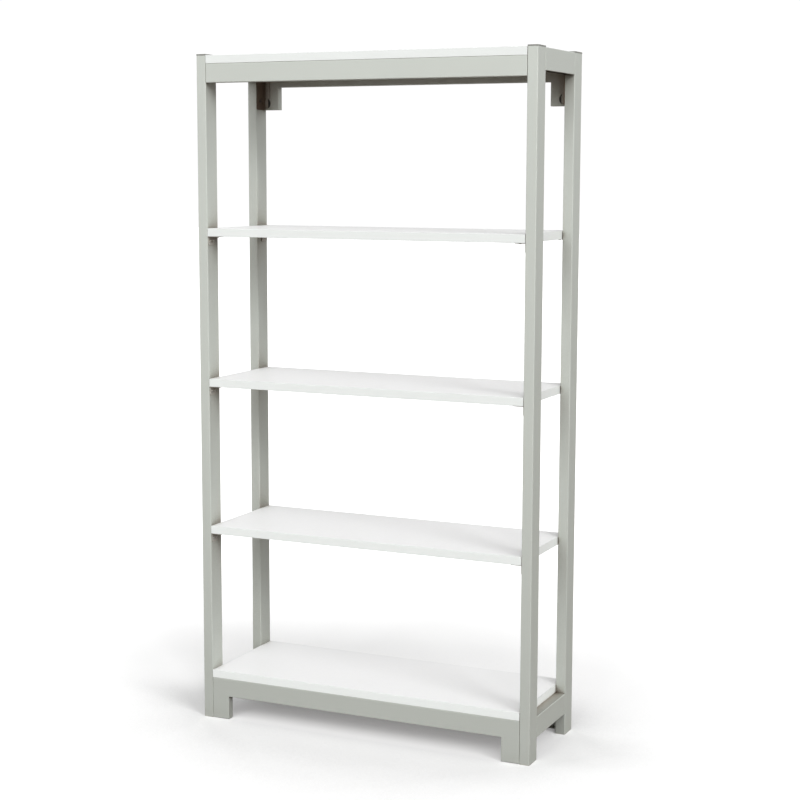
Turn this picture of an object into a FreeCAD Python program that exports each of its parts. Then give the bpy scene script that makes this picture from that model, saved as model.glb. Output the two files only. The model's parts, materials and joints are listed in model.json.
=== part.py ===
import FreeCAD, Part
import Sketcher
import math
import os

# Free-standing five-board bookcase.
# Four rectangular steel posts, folded steel rails between them at top and
# bottom, five melamine boards.  The bottom rails and the rear top rail are
# portal rails: the same folded channel with an ear at each end.  The rear top
# portal is turned, so that its web faces the front.
#
# Frame: +Z up, front faces -Y, +X to the right, origin on the floor under the
# middle of the bookcase.  Millimetres.

doc = FreeCAD.newDocument("bookcase")

# ---------------------------------------------------------------------------
# driving dimensions
# ---------------------------------------------------------------------------
DIMS = [
    # overall
    ("case_wide", 1116.0), ("case_deep", 380.0), ("case_high", 2100.0),
    # posts
    ("post_wide", 32.0), ("post_deep", 64.0), ("post_wall", 2.0),
    ("post_round", 2.5), ("post_round_in", 0.8),
    # end caps and foot caps
    ("cap_thick", 4.0), ("foot_thick", 3.0), ("cap_over", 0.5),
    ("plug_gap", 0.2), ("plug_wall", 2.2), ("cap_skirt", 15.0), ("cap_break", 0.8),
    # sheet rails
    ("sheet", 2.0), ("rail_high", 58.0), ("rail_deep", 25.0), ("rail_round", 2.0),
    ("rail_gap", 0.3), ("top_rail_low", 2013.0), ("bot_rail_low", 75.0),
    ("ear_wide", 58.0), ("ear_low", 74.0), ("top_ear_low", 72.0), ("end_deep", 61.0),
    # side rails
    ("side_high", 65.0), ("side_gap", 0.3), ("bot_side_low", 68.0), ("top_side_low", 2031.0),
    # boards
    ("board_thick", 25.0), ("edge_thick", 2.0), ("edge_round", 1.0), ("board_gap", 0.5),
    ("level_bottom", 133.0), ("level_lower", 603.0), ("level_middle", 1073.0),
    ("level_upper", 1543.0), ("level_top", 2071.0),
    # shelf brackets
    ("brk_deep", 36.0), ("brk_high", 28.0), ("brk_reach", 36.0), ("brk_sheet", 2.0),
    ("brk_inset", 4.0), ("brk_round", 5.0), ("brk_screw_low", 16.0), ("brk_screw_in", 9.0),
    ("brk_tab_in", 24.0),
    # machine screws and rivet nuts
    ("bolt_r", 2.95), ("bolt_len", 13.0), ("bolt_head_r", 5.25), ("bolt_head", 3.3),
    ("bolt_key", 2.0), ("bolt_key_deep", 2.0), ("hole_r", 3.3),
    ("nut_r", 4.5), ("nut_bulge", 6.0), ("nut_bore", 3.0), ("nut_len", 12.0),
    # small screws
    ("tap_r", 2.1), ("tap_len", 11.0), ("tap_head_r", 4.2), ("tap_head", 2.4),
    ("wood_r", 2.0), ("wood_len", 17.0), ("wood_hole", 2.3),
    ("wood_row", 400.0), ("wood_in", 14.0),
    # screw positions in the rails
    ("bolt_in", 15.0), ("bolt_lo", 14.0), ("bolt_hi", 44.0),
    ("ear_bolt_a", 18.0), ("ear_bolt_b", 44.0), ("ear_bolt_lo", 43.0), ("ear_bolt_hi", 29.0),
    ("turn_bolt_in", 14.0), ("cp_bolt_in", 44.5),
    ("side_bolt_lo", 16.0), ("side_bolt_hi", 42.0),
    # wall fixing holes in the rear top rail
    ("wall_hole_r", 3.5), ("wall_hole_x", 300.0), ("wall_hole_up", 29.0),
    # rear corner plates and hooks
    ("cp_thick", 2.0), ("cp_gap", 0.3), ("cp_leg", 11.5), ("cp_low", 1.0), ("cp_top", 4.0),
    ("cp_round", 4.0),
    ("hook_thick", 2.5), ("hook_in", 13.0), ("hook_edge", 28.0), ("hook_up", 50.0),
    ("hook_straight", 35.0), ("hook_neck", 7.0), ("hook_lobe_x", 17.6), ("hook_lobe_up", 20.5),
    ("hook_lobe_r", 5.4), ("hook_lobe_long", 13.0),
    ("liner_r", 16.0), ("liner_in", 13.5), ("liner_thick", 3.0),
    # levelling glides
    ("pad_r", 11.0), ("pad_high", 9.0), ("pad_break", 1.0), ("pad_clear", 0.4),
    ("pad_lift", 0.6), ("pad_key_r", 3.0),
    ("stud_r", 3.92), ("stud_top", 44.0), ("stud_head_r", 6.0), ("stud_head_lo", 3.0),
    ("stud_head_hi", 7.0), ("stud_play", 0.3), ("stud_key", 2.0), ("stud_key_deep", 3.0),
    ("thread_bore", 4.0), ("thread_clear", 4.5), ("thread_af", 13.0), ("thread_high", 6.5),
    ("thread_up", 16.0), ("plug_top", 26.0), ("pocket_af", 13.2),
]
sheet = doc.addObject("Spreadsheet::Sheet", "Dims")
for row, (alias, value) in enumerate(DIMS, start=1):
    sheet.set("A%d" % row, alias)
    sheet.set("B%d" % row, "%g" % value)
    sheet.setAlias("B%d" % row, alias)
doc.recompute()


class Q:
    """A length that knows its value and its formula on the sheet."""

    def __init__(self, value, text):
        self.v = float(value)
        self.t = text

    def __add__(self, o):
        o = q(o)
        return Q(self.v + o.v, "(%s + %s)" % (self.t, o.t))

    __radd__ = __add__

    def __sub__(self, o):
        o = q(o)
        return Q(self.v - o.v, "(%s - %s)" % (self.t, o.t))

    def __rsub__(self, o):
        return q(o) - self

    def __mul__(self, o):
        o = q(o)
        return Q(self.v * o.v, "(%s * %s)" % (self.t, o.t))

    __rmul__ = __mul__

    def __truediv__(self, o):
        o = q(o)
        return Q(self.v / o.v, "(%s / %s)" % (self.t, o.t))

    def __neg__(self):
        return Q(-self.v, "(0 - %s)" % self.t)


def q(x):
    return x if isinstance(x, Q) else Q(x, "%.6f" % x if x >= 0 else "(0 - %.6f)" % -x)


class Sheet:
    pass


D = Sheet()
for alias, value in DIMS:
    setattr(D, alias, Q(value, "Dims." + alias))

V = FreeCAD.Vector
HALF_W = D.case_wide / 2
HALF_D = D.case_deep / 2
IN_X = HALF_W - D.post_wide              # inner side faces of the posts
IN_Y = HALF_D - D.post_deep              # post faces that look along the depth
POST_X = HALF_W - D.post_wide / 2
POST_Y = HALF_D - D.post_deep / 2
POST_TOP = D.case_high - D.cap_thick

PARTS = []


# ---------------------------------------------------------------------------
# construction helpers
# ---------------------------------------------------------------------------
def place(obj, x, y, z, yaw=0.0):
    """Placement bound to the sheet."""
    x, y, z = q(x), q(y), q(z)
    obj.Placement = FreeCAD.Placement(V(x.v, y.v, z.v), FreeCAD.Rotation(V(0, 0, 1), yaw))
    obj.setExpression("Placement.Base.x", x.t)
    obj.setExpression("Placement.Base.y", y.t)
    obj.setExpression("Placement.Base.z", z.t)


def new_body(name, keep=True):
    b = doc.addObject("PartDesign::Body", name)
    b.Label = name
    if keep:
        PARTS.append(b)
    return b


SIGN = {"XY": 1, "XZ": -1, "YZ": 1}


def sketch(b, plane, at=0):
    """Sketch on an origin plane of the body, moved along that plane's axis."""
    s = b.newObject("Sketcher::SketchObject", b.Name + "_sk%d" % len(b.Group))
    ref = [f for f in b.Origin.OriginFeatures if f.Role == plane + "_Plane"][0]
    s.AttachmentSupport = [(ref, "")]
    s.MapMode = "FlatFace"
    at = q(at) * SIGN[plane]
    s.AttachmentOffset = FreeCAD.Placement(V(0, 0, at.v), FreeCAD.Rotation())
    s.setExpression("AttachmentOffset.Base.z", at.t)
    return s


def bind(s, kind, geo, pos, value):
    k = s.addConstraint(Sketcher.Constraint(kind, -1, 1, geo, pos, value.v))
    s.setExpression("Constraints[%d]" % k, value.t)


def poly(s, pts):
    """Closed outline; every corner is held by two dimensions from the origin."""
    pts = [(q(a), q(c)) for a, c in pts]
    first = s.GeometryCount
    n = len(pts)
    for i in range(n):
        a, c = pts[i], pts[(i + 1) % n]
        s.addGeometry(Part.LineSegment(V(a[0].v, a[1].v, 0), V(c[0].v, c[1].v, 0)))
    for i in range(n):
        s.addConstraint(Sketcher.Constraint("Coincident", first + i, 2, first + (i + 1) % n, 1))
    for i in range(n):
        bind(s, "DistanceX", first + i, 1, pts[i][0])
        bind(s, "DistanceY", first + i, 1, pts[i][1])


def rect(s, x0, y0, x1, y1):
    poly(s, [(x0, y0), (x1, y0), (x1, y1), (x0, y1)])


def circle(s, x, y, r):
    x, y, r = q(x), q(y), q(r)
    g = s.addGeometry(Part.Circle(V(x.v, y.v, 0), V(0, 0, 1), r.v))
    bind(s, "DistanceX", g, 3, x)
    bind(s, "DistanceY", g, 3, y)
    k = s.addConstraint(Sketcher.Constraint("Radius", g, r.v))
    s.setExpression("Constraints[%d]" % k, r.t)


def hexagon(s, x, y, af):
    """Regular hexagon by its width across flats."""
    af = q(af)
    r = af / math.sqrt(3.0)
    poly(s, [(q(x) + r * math.cos(math.radians(60 * i)), q(y) + r * math.sin(math.radians(60 * i)))
             for i in range(6)])


def plane_of(s):
    return s.AttachmentSupport[0][0].Role[:2]


def pad(b, s, length, to="+", sym=False):
    length = q(length)
    f = b.newObject("PartDesign::Pad", b.Name + "_pad%d" % len(b.Group))
    f.Profile = s
    f.Length = length.v
    f.setExpression("Length", length.t)
    if sym:
        f.SideType = "Symmetric"
    else:
        f.Reversed = (to == "+") != (SIGN[plane_of(s)] > 0)
    doc.recompute()
    return f


def pocket(b, s, length=None, to="+", sym=False):
    """Cut; without a length it goes through everything on that side."""
    before = b.Shape.Volume
    f = b.newObject("PartDesign::Pocket", b.Name + "_cut%d" % len(b.Group))
    f.Profile = s
    if length is None:
        f.Type = "ThroughAll"
    else:
        length = q(length)
        f.Type = "Length"
        f.Length = length.v
        f.setExpression("Length", length.t)
    if sym:
        f.SideType = "Symmetric"
    else:
        f.Reversed = (to == "+") == (SIGN[plane_of(s)] > 0)
    doc.recompute()
    if not b.Shape.Volume < before - 1e-3:
        raise RuntimeError("%s removes nothing" % f.Name)
    return f


def revolve(b, s):
    f = b.newObject("PartDesign::Revolution", b.Name + "_rev%d" % len(b.Group))
    f.Profile = s
    f.ReferenceAxis = (s, ["V_Axis"])
    f.Angle = 360.0
    doc.recompute()
    return f


def dress(b, kind, size, pick):
    """Fillet or Chamfer on the edges that pick(edge) accepts."""
    doc.recompute()
    tip = b.Tip
    names = ["Edge%d" % (i + 1) for i, e in enumerate(tip.Shape.Edges) if pick(e)]
    if not names:
        raise RuntimeError("no edges for %s" % b.Name)
    f = b.newObject("PartDesign::" + kind, b.Name + "_%s%d" % (kind.lower(), len(b.Group)))
    f.Base = (tip, names)
    prop = "Radius" if kind == "Fillet" else "Size"
    setattr(f, prop, size.v)
    f.setExpression(prop, size.t)
    doc.recompute()
    return f


def ends(e):
    return [v.Point for v in e.Vertexes]


def vertical(e):
    p = ends(e)
    return len(p) == 2 and abs(p[0].x - p[1].x) < 1e-4 and abs(p[0].y - p[1].y) < 1e-4


def on(e, axis, value):
    return all(abs(getattr(p, axis) - value) < 1e-4 for p in ends(e)) and len(ends(e)) > 0


def group(name, master, places):
    """Separate solids of one fastener, kept as one node."""
    doc.recompute()
    src = master.Shape.copy()
    src.Placement = FreeCAD.Placement()
    solids = []
    for p in places:
        c = src.copy()
        c.Placement = p
        solids.append(c)
    f = doc.addObject("Part::Feature", name)
    f.Label = name
    f.Shape = Part.makeCompound(solids)
    f.Placement = FreeCAD.Placement()
    PARTS.append(f)
    return f


def turn(direction):
    """Rotation that takes a screw's own +Z to the given direction."""
    return FreeCAD.Rotation(V(0, 0, 1), V(*direction))


# ---------------------------------------------------------------------------
# posts
# ---------------------------------------------------------------------------
LEVELS = [("lower", D.level_lower), ("middle", D.level_middle), ("upper", D.level_upper)]


def post(name, sx, sy):
    """Rectangular tube with the tapped holes of its rails and brackets.
    sx, sy give the corner: -1 left or front, +1 right or rear."""
    b = new_body(name)
    s = sketch(b, "XY", D.foot_thick)
    hw, hd = D.post_wide / 2, D.post_deep / 2
    rect(s, -hw, -hd, hw, hd)
    rect(s, -(hw - D.post_wall), -(hd - D.post_wall), hw - D.post_wall, hd - D.post_wall)
    pad(b, s, POST_TOP - D.foot_thick)
    dress(b, "Fillet", D.post_round,
          lambda e: vertical(e) and abs(abs(ends(e)[0].x) - hw.v) < 1e-4)
    dress(b, "Fillet", D.post_round_in,
          lambda e: vertical(e) and abs(abs(ends(e)[0].x) - (hw.v - D.post_wall.v)) < 1e-4
          and abs(abs(ends(e)[0].y) - (hd.v - D.post_wall.v)) < 1e-4)
    # holes in the wall that faces the middle of the bookcase
    inward = "+" if sx < 0 else "-"
    s = sketch(b, "YZ", 0)
    nuts = []
    if sy < 0:
        nuts += [(D.bolt_in, D.top_rail_low + D.bolt_lo), (D.bolt_in, D.top_rail_low + D.bolt_hi)]
    else:
        nuts += [(a, D.top_rail_low + z) for a in (D.rail_deep - D.turn_bolt_in, D.cp_bolt_in)
                 for z in (-D.ear_bolt_lo, D.ear_bolt_hi)]
    nuts += [(a, D.bot_rail_low + z) for a in (D.ear_bolt_a, D.ear_bolt_b)
             for z in (-D.ear_bolt_lo, D.ear_bolt_hi)]
    for a, z in nuts:
        circle(s, (hd - a) * sy, z, D.nut_r)
    for _, level in LEVELS:
        for a in (D.brk_inset + D.brk_screw_in, D.brk_inset + D.brk_deep - D.brk_screw_in):
            circle(s, (hd - a) * sy, level - D.brk_screw_low, D.tap_r)
    pocket(b, s, to=inward)
    # holes in the wall that faces the side rails
    s = sketch(b, "XZ", 0)
    for base in (D.bot_side_low, D.top_side_low):
        for z in (D.side_bolt_lo, D.side_bolt_hi):
            circle(s, 0, base + z, D.nut_r)
    pocket(b, s, to="+" if sy < 0 else "-")
    place(b, POST_X * sx, POST_Y * sy, 0)
    return b


CORNERS = [("front_left", -1, -1), ("front_right", 1, -1), ("rear_left", -1, 1), ("rear_right", 1, 1)]
for label, sx, sy in CORNERS:
    post("post_" + label, sx, sy)


# ---------------------------------------------------------------------------
# end caps on the posts
# ---------------------------------------------------------------------------
def cap(name, sx, sy):
    """Moulded cap: thin cover with a hollow skirt inside the tube."""
    b = new_body(name)
    hw, hd = D.post_wide / 2 + D.cap_over, D.post_deep / 2 + D.cap_over
    s = sketch(b, "XY", 0)
    rect(s, -hw, -hd, hw, hd)
    pad(b, s, D.cap_thick)
    dress(b, "Fillet", D.post_round, lambda e: vertical(e))
    dress(b, "Chamfer", D.cap_break, lambda e: on(e, "z", D.cap_thick.v))
    iw = D.post_wide / 2 - D.post_wall - D.plug_gap
    idp = D.post_deep / 2 - D.post_wall - D.plug_gap
    s = sketch(b, "XY", 0)
    rect(s, -iw, -idp, iw, idp)
    pad(b, s, D.cap_skirt, to="-")
    s = sketch(b, "XY", 0)
    rect(s, -(iw - D.plug_wall), -(idp - D.plug_wall), iw - D.plug_wall, idp - D.plug_wall)
    pocket(b, s, D.cap_skirt + 5, to="-")
    dress(b, "Fillet", D.post_round_in,
          lambda e: vertical(e) and abs(abs(ends(e)[0].x) - iw.v) < 1e-4)
    place(b, POST_X * sx, POST_Y * sy, POST_TOP)
    return b


for label, sx, sy in CORNERS:
    cap("post_cap_" + label, sx, sy)


# ---------------------------------------------------------------------------
# front and rear rails, folded from sheet
# ---------------------------------------------------------------------------
def rail(name, low, front, ears=None, turned=False):
    """Folded channel, web outside.  Local y runs inwards from the web's outer
    face and local z up from the rail's lower edge.  With ears it is a portal:
    the channel turns down at both ends.  A turned rear portal faces the front:
    its web stands one rail depth inside the rear plane, its flanges run back."""
    b = new_body(name)
    hx = IN_X - D.rail_gap
    t = D.sheet
    s = sketch(b, "XZ", 0)
    if ears is None:
        out = [(-hx, 0), (hx, 0), (hx, D.rail_high), (-hx, D.rail_high)]
        inn = [(-(hx - t), t), (hx - t, t), (hx - t, D.rail_high - t), (-(hx - t), D.rail_high - t)]
    else:
        ex = IN_X - D.ear_wide
        out = [(-hx, -ears), (-ex, -ears), (-ex, 0), (ex, 0), (ex, -ears), (hx, -ears),
               (hx, D.rail_high), (-hx, D.rail_high)]
        inn = [(-(hx - t), -(ears - t)), (-(ex + t), -(ears - t)), (-(ex + t), t), (ex + t, t),
               (ex + t, -(ears - t)), (hx - t, -(ears - t)),
               (hx - t, D.rail_high - t), (-(hx - t), D.rail_high - t)]
    poly(s, out)
    pad(b, s, D.rail_deep)
    dress(b, "Fillet", D.rail_round, lambda e: on(e, "y", 0.0))
    s = sketch(b, "XZ", D.rail_deep)
    poly(s, inn)
    pocket(b, s, D.rail_deep - t, to="-")
    if turned:
        bolts = [(D.turn_bolt_in, z) for z in (-D.ear_bolt_lo, D.ear_bolt_hi)]
    elif ears is not None:
        # deep end flanges that lie on the posts
        s = sketch(b, "XZ", D.rail_deep - t)
        for k in (-1, 1):
            rect(s, (hx - t) * k, -(ears - t), hx * k, D.rail_high - t)
        pad(b, s, D.end_deep - D.rail_deep + t)
        bolts = [(a, z) for a in (D.ear_bolt_a, D.ear_bolt_b) for z in (-D.ear_bolt_lo, D.ear_bolt_hi)]
    else:
        bolts = [(D.bolt_in, D.bolt_lo), (D.bolt_in, D.bolt_hi)]
    for to, x in (("+", hx - 20), ("-", -(hx - 20))):
        s = sketch(b, "YZ", x)
        for a, z in bolts:
            circle(s, a, z, D.hole_r)
        pocket(b, s, to=to)
    # holes for the screws that hold the board on the upper flange
    s = sketch(b, "XY", D.rail_high / 2)
    for x in (-D.wood_row, 0, D.wood_row):
        circle(s, x, D.rail_deep - D.wood_in if turned else D.wood_in, D.wood_hole)
    pocket(b, s, to="+")
    if turned:
        s = sketch(b, "XZ", D.rail_deep / 2)
        for k in (-1, 1):
            circle(s, D.wall_hole_x * k, D.wall_hole_up, D.wall_hole_r)
        pocket(b, s, to="-")
    if front:
        place(b, 0, -HALF_D, low)
    elif turned:
        place(b, 0, HALF_D - D.rail_deep, low)
    else:
        place(b, 0, HALF_D, low, 180.0)
    return b


rail("top_front_rail", D.top_rail_low, True)
rail("top_rear_rail", D.top_rail_low, False, D.top_ear_low, True)
rail("bottom_front_rail", D.bot_rail_low, True, D.ear_low)
rail("bottom_rear_rail", D.bot_rail_low, False, D.ear_low)


# ---------------------------------------------------------------------------
# side rails: channels open below, with closed ends, between the front and
# rear posts
# ---------------------------------------------------------------------------
def side_rail(name, low, sx):
    b = new_body(name)
    w, h, t = D.post_wide, D.side_high, D.sheet
    s = sketch(b, "XZ", 0)
    half = IN_Y - D.side_gap
    rect(s, 0, 0, w, h)
    pad(b, s, half * 2, sym=True)
    dress(b, "Fillet", D.rail_round,
          lambda e: on(e, "x", w.v) and abs(ends(e)[0].y - ends(e)[-1].y) > 10)
    dress(b, "Fillet", D.rail_round, lambda e: vertical(e) and on(e, "x", w.v))
    s = sketch(b, "XY", h - t)
    rect(s, t, -(half - t), w - t, half - t)
    pocket(b, s, to="-")
    for to, y in (("+", half - 30), ("-", -(half - 30))):
        s = sketch(b, "XZ", y)
        for z in (D.side_bolt_lo, D.side_bolt_hi):
            circle(s, w / 2, z, D.hole_r)
        pocket(b, s, to=to)
    place(b, IN_X * sx, 0, low, 0.0 if sx > 0 else 180.0)
    return b


for label, sx in (("left", -1), ("right", 1)):
    side_rail("top_side_rail_" + label, D.top_side_low, sx)
    side_rail("bottom_side_rail_" + label, D.bot_side_low, sx)


# ---------------------------------------------------------------------------
# boards and their edging
# ---------------------------------------------------------------------------
BX = IN_X - D.board_gap
TAB_X = IN_X - D.brk_tab_in
TAB_Y = HALF_D - D.brk_inset - D.brk_deep / 2


def board(name, level, screws):
    """Melamine-faced board, without its edging."""
    b = new_body(name)
    ex, ey = BX - D.edge_thick, HALF_D - D.edge_thick
    s = sketch(b, "XY", 0)
    rect(s, -ex, -ey, ex, ey)
    pad(b, s, D.board_thick)
    s = sketch(b, "XY", 0)
    for x, y in screws:
        circle(s, x, y, D.wood_r)
    pocket(b, s, D.wood_len - D.sheet, to="+")
    place(b, 0, 0, level)
    return b


def edging(name, level):
    """Four glued strips around a board; the long ones run its full length."""
    t = D.edge_thick
    bars = []
    for k, (lx, ly, cx, cy) in enumerate([
            (BX * 2, t, q(0), -(HALF_D - t / 2)), (BX * 2, t, q(0), HALF_D - t / 2),
            (t, HALF_D * 2 - t * 2, -(BX - t / 2), q(0)), (t, HALF_D * 2 - t * 2, BX - t / 2, q(0))]):
        bar = doc.addObject("Part::Box", "%s_bar%d" % (name, k))
        for prop, val in (("Length", lx), ("Width", ly), ("Height", D.board_thick)):
            setattr(bar, prop, val.v)
            bar.setExpression(prop, val.t)
        place(bar, cx - lx / 2, cy - ly / 2, 0)
        doc.recompute()
        long_bar = k < 2
        if long_bar:
            y_out = -HALF_D.v if k == 0 else HALF_D.v
            picks = [i + 1 for i, e in enumerate(bar.Shape.Edges)
                     if abs(e.Vertexes[0].Point.y - y_out) < 1e-4 and abs(e.Vertexes[1].Point.y - y_out) < 1e-4
                     and abs(e.Vertexes[0].Point.x - e.Vertexes[1].Point.x) > 5]
            fil = doc.addObject("Part::Fillet", "%s_round%d" % (name, k))
            fil.Base = bar
            fil.Edges = [(i, D.edge_round.v, D.edge_round.v) for i in picks]
            doc.recompute()
            bars.append(fil)
        else:
            bars.append(bar)
    c = doc.addObject("Part::Compound", name)
    c.Label = name
    c.Links = bars
    place(c, 0, 0, level)
    PARTS.append(c)
    return c


RAIL_SCREWS = [(x, (HALF_D - D.wood_in) * k) for x in (-D.wood_row, q(0), D.wood_row) for k in (-1, 1)]
TAB_SCREWS = [(TAB_X * i, TAB_Y * k) for i in (-1, 1) for k in (-1, 1)]
BOARDS = [("bottom", D.level_bottom, RAIL_SCREWS), ("lower", D.level_lower, TAB_SCREWS),
          ("middle", D.level_middle, TAB_SCREWS), ("upper", D.level_upper, TAB_SCREWS),
          ("top", D.level_top, RAIL_SCREWS)]
for label, level, screws in BOARDS:
    board("shelf_" + label, level, screws)
    edging("shelf_%s_edging" % label, level)


# ---------------------------------------------------------------------------
# shelf brackets, four under each of the three middle boards
# ---------------------------------------------------------------------------
def bracket_master():
    """Folded angle.  Local origin: post face, middle of its depth, board's underside.
    Local +x points away from the post."""
    b = new_body("shelf_bracket_master", keep=False)
    s = sketch(b, "XZ", 0)
    t = D.brk_sheet
    poly(s, [(0, 0), (0, -D.brk_high), (t, -D.brk_high), (t, -t), (D.brk_reach, -t), (D.brk_reach, 0)])
    pad(b, s, D.brk_deep, sym=True)
    hd = D.brk_deep.v / 2
    dress(b, "Fillet", D.brk_round,
          lambda e: abs(abs(ends(e)[0].y) - hd) < 1e-4 and abs(abs(ends(e)[-1].y) - hd) < 1e-4
          and ((on(e, "z", -D.brk_high.v) and abs(ends(e)[0].x - ends(e)[-1].x) > 1)
               or (vertical(e) and on(e, "x", D.brk_reach.v))))
    s = sketch(b, "YZ", 0)
    for k in (-1, 1):
        circle(s, (D.brk_deep / 2 - D.brk_screw_in) * k, -D.brk_screw_low, D.tap_r)
    pocket(b, s, to="+")
    s = sketch(b, "XY", 0)
    circle(s, D.brk_tab_in, 0, D.wood_r)
    pocket(b, s, to="-")
    return b


def at(x, y, z, rot=None):
    return FreeCAD.Placement(V(q(x).v, q(y).v, q(z).v), rot or FreeCAD.Rotation())


bracket = bracket_master()
for label, level in LEVELS:
    group("shelf_%s_brackets" % label, bracket,
          [at(IN_X * i, TAB_Y * k, level, FreeCAD.Rotation(V(0, 0, 1), 0 if i < 0 else 180))
           for i in (-1, 1) for k in (-1, 1)])


# ---------------------------------------------------------------------------
# fasteners.  Masters point their head along local +z; z = 0 is under the head.
# ---------------------------------------------------------------------------
def screw_master(name, r, length, head_r, head, key, key_deep, point=0.0):
    b = new_body(name, keep=False)
    s = sketch(b, "XZ", 0)
    crown = head_r * 0.62
    pts = [(0, -length), (r - point if point else r - 0.4, -length), (r, -(length - (3.0 if point else 0.5))),
           (r, 0), (head_r, 0), (head_r, head * 0.35), (head_r * 0.92, head * 0.7), (crown, head), (0, head)]
    poly(s, pts)
    revolve(b, s)
    s = sketch(b, "XY", head)
    hexagon(s, 0, 0, key * 2)
    pocket(b, s, key_deep, to="-")
    return b


def rivet_master():
    """Threaded rivet nut set flush in a wall; the thread is a plain bore.
    Local z = 0 is the wall's outer face, the nut runs to -z."""
    b = new_body("rivet_nut_master", keep=False)
    s = sketch(b, "XZ", 0)
    w = D.post_wall
    poly(s, [(D.nut_bore, 0), (D.nut_r, 0), (D.nut_r, -w), (D.nut_bulge, -(w + 0.3)),
             (D.nut_bulge, -(w + 2.2)), (D.nut_r, -(w + 3.0)), (D.nut_r, -D.nut_len), (D.nut_bore, -D.nut_len)])
    revolve(b, s)
    return b


bolt = screw_master("m6_screw_master", D.bolt_r, D.bolt_len, D.bolt_head_r, D.bolt_head, D.bolt_key, D.bolt_key_deep)
tapper = screw_master("tapping_screw_master", D.tap_r, D.tap_len, D.tap_head_r, D.tap_head, q(1.5), q(1.2), 1.4)
wood = screw_master("wood_screw_master", D.wood_r, D.wood_len, D.tap_head_r, D.tap_head, q(1.5), q(1.2), 1.3)
rivet = rivet_master()

rail_bolts = {"top": [], "bottom": []}
rivets = {"top": [], "bottom": []}
for sx in (-1, 1):
    inward = (-sx, 0, 0)
    for sy in (-1, 1):
        for where, low in (("top", D.top_rail_low), ("bottom", D.bot_rail_low)):
            under = IN_X - D.rail_gap - D.sheet
            if where == "bottom":
                spots = [(a, low + z, under) for a in (D.ear_bolt_a, D.ear_bolt_b)
                         for z in (-D.ear_bolt_lo, D.ear_bolt_hi)]
            elif sy < 0:
                spots = [(D.bolt_in, low + D.bolt_lo, under), (D.bolt_in, low + D.bolt_hi, under)]
            else:
                # one column in the turned portal's end flange, one in the corner plate
                spots = [(a, low + z, x) for a, x in ((D.rail_deep - D.turn_bolt_in, under),
                                                      (D.cp_bolt_in, IN_X - D.rail_gap - D.cp_thick))
                         for z in (-D.ear_bolt_lo, D.ear_bolt_hi)]
            for a, z, x in spots:
                y = (HALF_D - a) * sy
                rail_bolts[where].append(at(x * sx, y, z, turn(inward)))
                rivets[where].append(at(IN_X * sx, y, z, turn(inward)))
    for sy in (-1, 1):
        inward = (0, -sy, 0)
        for where, low in (("top", D.top_side_low), ("bottom", D.bot_side_low)):
            for dz in (D.side_bolt_lo, D.side_bolt_hi):
                rail_bolts[where].append(at(POST_X * sx, (IN_Y - D.side_gap - D.sheet) * sy, low + dz, turn(inward)))
                rivets[where].append(at(POST_X * sx, IN_Y * sy, low + dz, turn(inward)))

group("top_rail_screws", bolt, rail_bolts["top"])
group("bottom_rail_screws", bolt, rail_bolts["bottom"])
group("top_rivet_nuts", rivet, rivets["top"])
group("bottom_rivet_nuts", rivet, rivets["bottom"])

tap_places = []
for _, level in LEVELS:
    for i in (-1, 1):
        for k in (-1, 1):
            for a in (D.brk_inset + D.brk_screw_in, D.brk_inset + D.brk_deep - D.brk_screw_in):
                tap_places.append(at((IN_X - D.brk_sheet) * i, (HALF_D - a) * k,
                                     level - D.brk_screw_low, turn((-i, 0, 0))))
group("bracket_screws", tapper, tap_places)

down = turn((0, 0, -1))
wood_places = []
for level in (D.level_bottom, D.level_top):
    for x, y in RAIL_SCREWS:
        wood_places.append(at(x, y, level - D.sheet, down))
for _, level in LEVELS:
    for x, y in TAB_SCREWS:
        wood_places.append(at(x, y, level - D.brk_sheet, down))
group("board_screws", wood, wood_places)


# ---------------------------------------------------------------------------
# rear corners: plate on the portal's end flange, hook plate and its liner
# ---------------------------------------------------------------------------
def box(name, lx, ly, lz, x, y, z):
    o = doc.addObject("Part::Box", name)
    for prop, val in (("Length", q(lx)), ("Width", q(ly)), ("Height", q(lz))):
        setattr(o, prop, val.v)
        o.setExpression(prop, val.t)
    place(o, x, y, z)
    return o


def disc(name, r, thick, x, y, z):
    """Cylinder along Y, from y to y + thick."""
    o = doc.addObject("Part::Cylinder", name)
    r, thick, x, y, z = q(r), q(thick), q(x), q(y), q(z)
    o.Radius, o.Height = r.v, thick.v
    o.setExpression("Radius", r.t)
    o.setExpression("Height", thick.t)
    o.Placement = FreeCAD.Placement(V(x.v, y.v, z.v), FreeCAD.Rotation(V(1, 0, 0), -90))
    o.setExpression("Placement.Base.x", x.t)
    o.setExpression("Placement.Base.y", y.t)
    o.setExpression("Placement.Base.z", z.t)
    return o


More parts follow.
